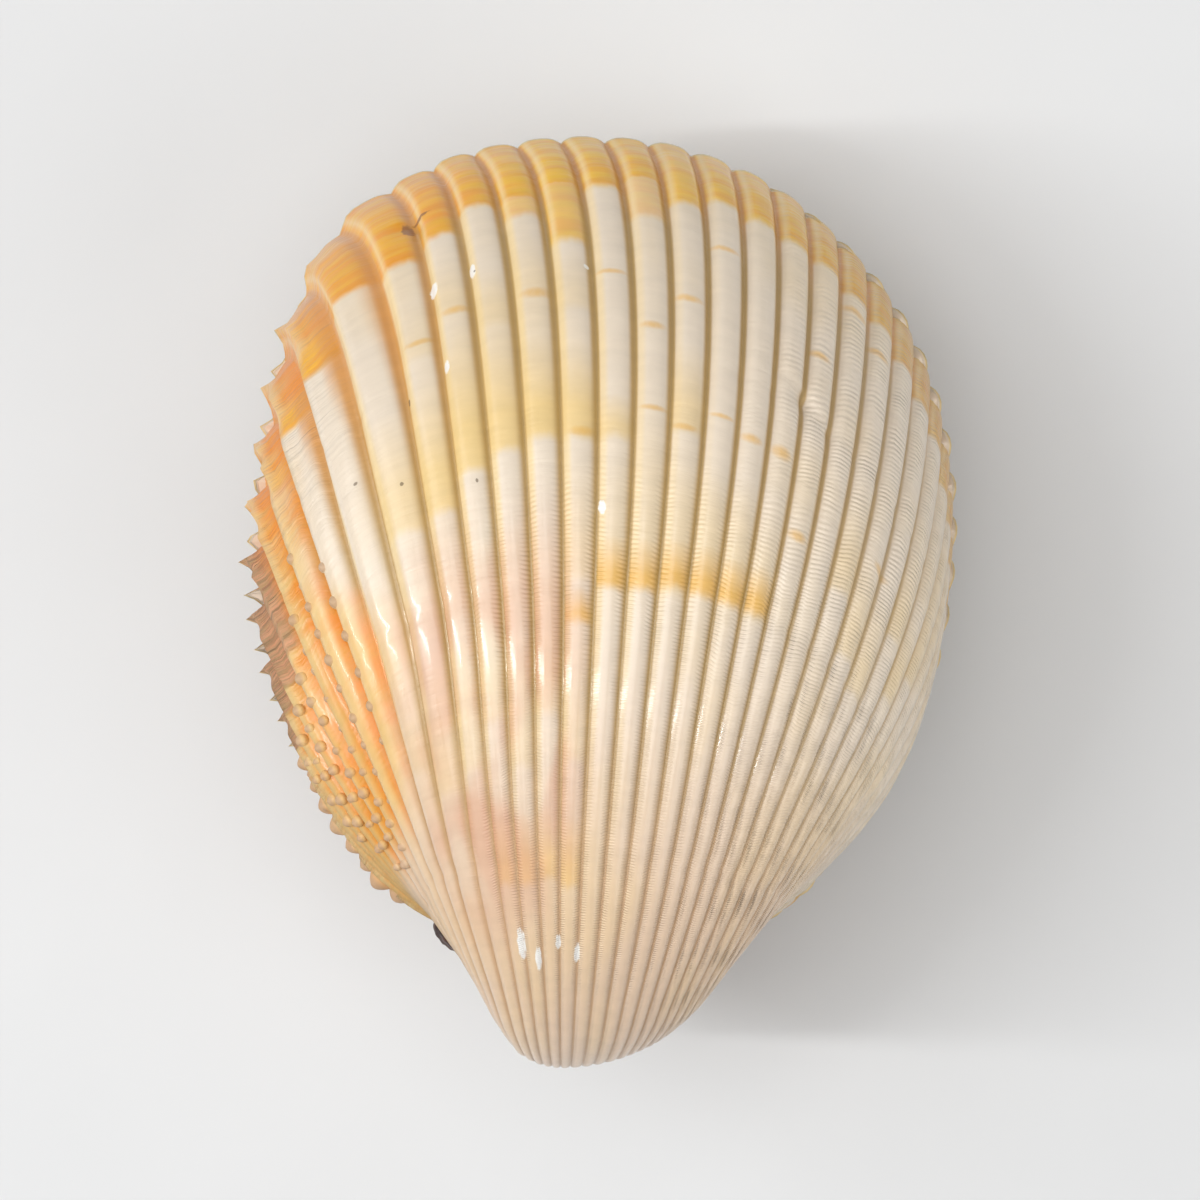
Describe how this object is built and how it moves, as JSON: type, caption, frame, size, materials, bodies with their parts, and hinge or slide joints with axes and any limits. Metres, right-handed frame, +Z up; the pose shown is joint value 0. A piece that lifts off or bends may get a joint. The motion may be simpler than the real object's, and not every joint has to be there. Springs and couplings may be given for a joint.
{
  "type": "cockle shell",
  "caption": "Whole ribbed cockle shell, valves closed edge to edge with toothed margins and a dark ligament behind the beaks; lies on one valve as decoration or set dressing.",
  "frame": {"origin": "on the surface that the shell lies on, under the middle of its bounding box", "axes": "+Y from the hinge to the ventral margin, -X to the posterior side with the ligament, +Z up through the left valve"},
  "size_m": [0.0492, 0.0654, 0.0425],
  "materials": {
    "left_valve_shell": "cream and white ribs with yellow and orange patches, glossy, natural shell",
    "right_valve_shell": "cream ribs with yellow and orange patches, glossy, natural shell",
    "ligament_horn": "dark brown horny ligament, dry, satin"
  },
  "bodies": {
    "root": {"left_valve": "left_valve_shell", "right_valve": "right_valve_shell", "ligament": "ligament_horn"}
  },
  "joints": []
}
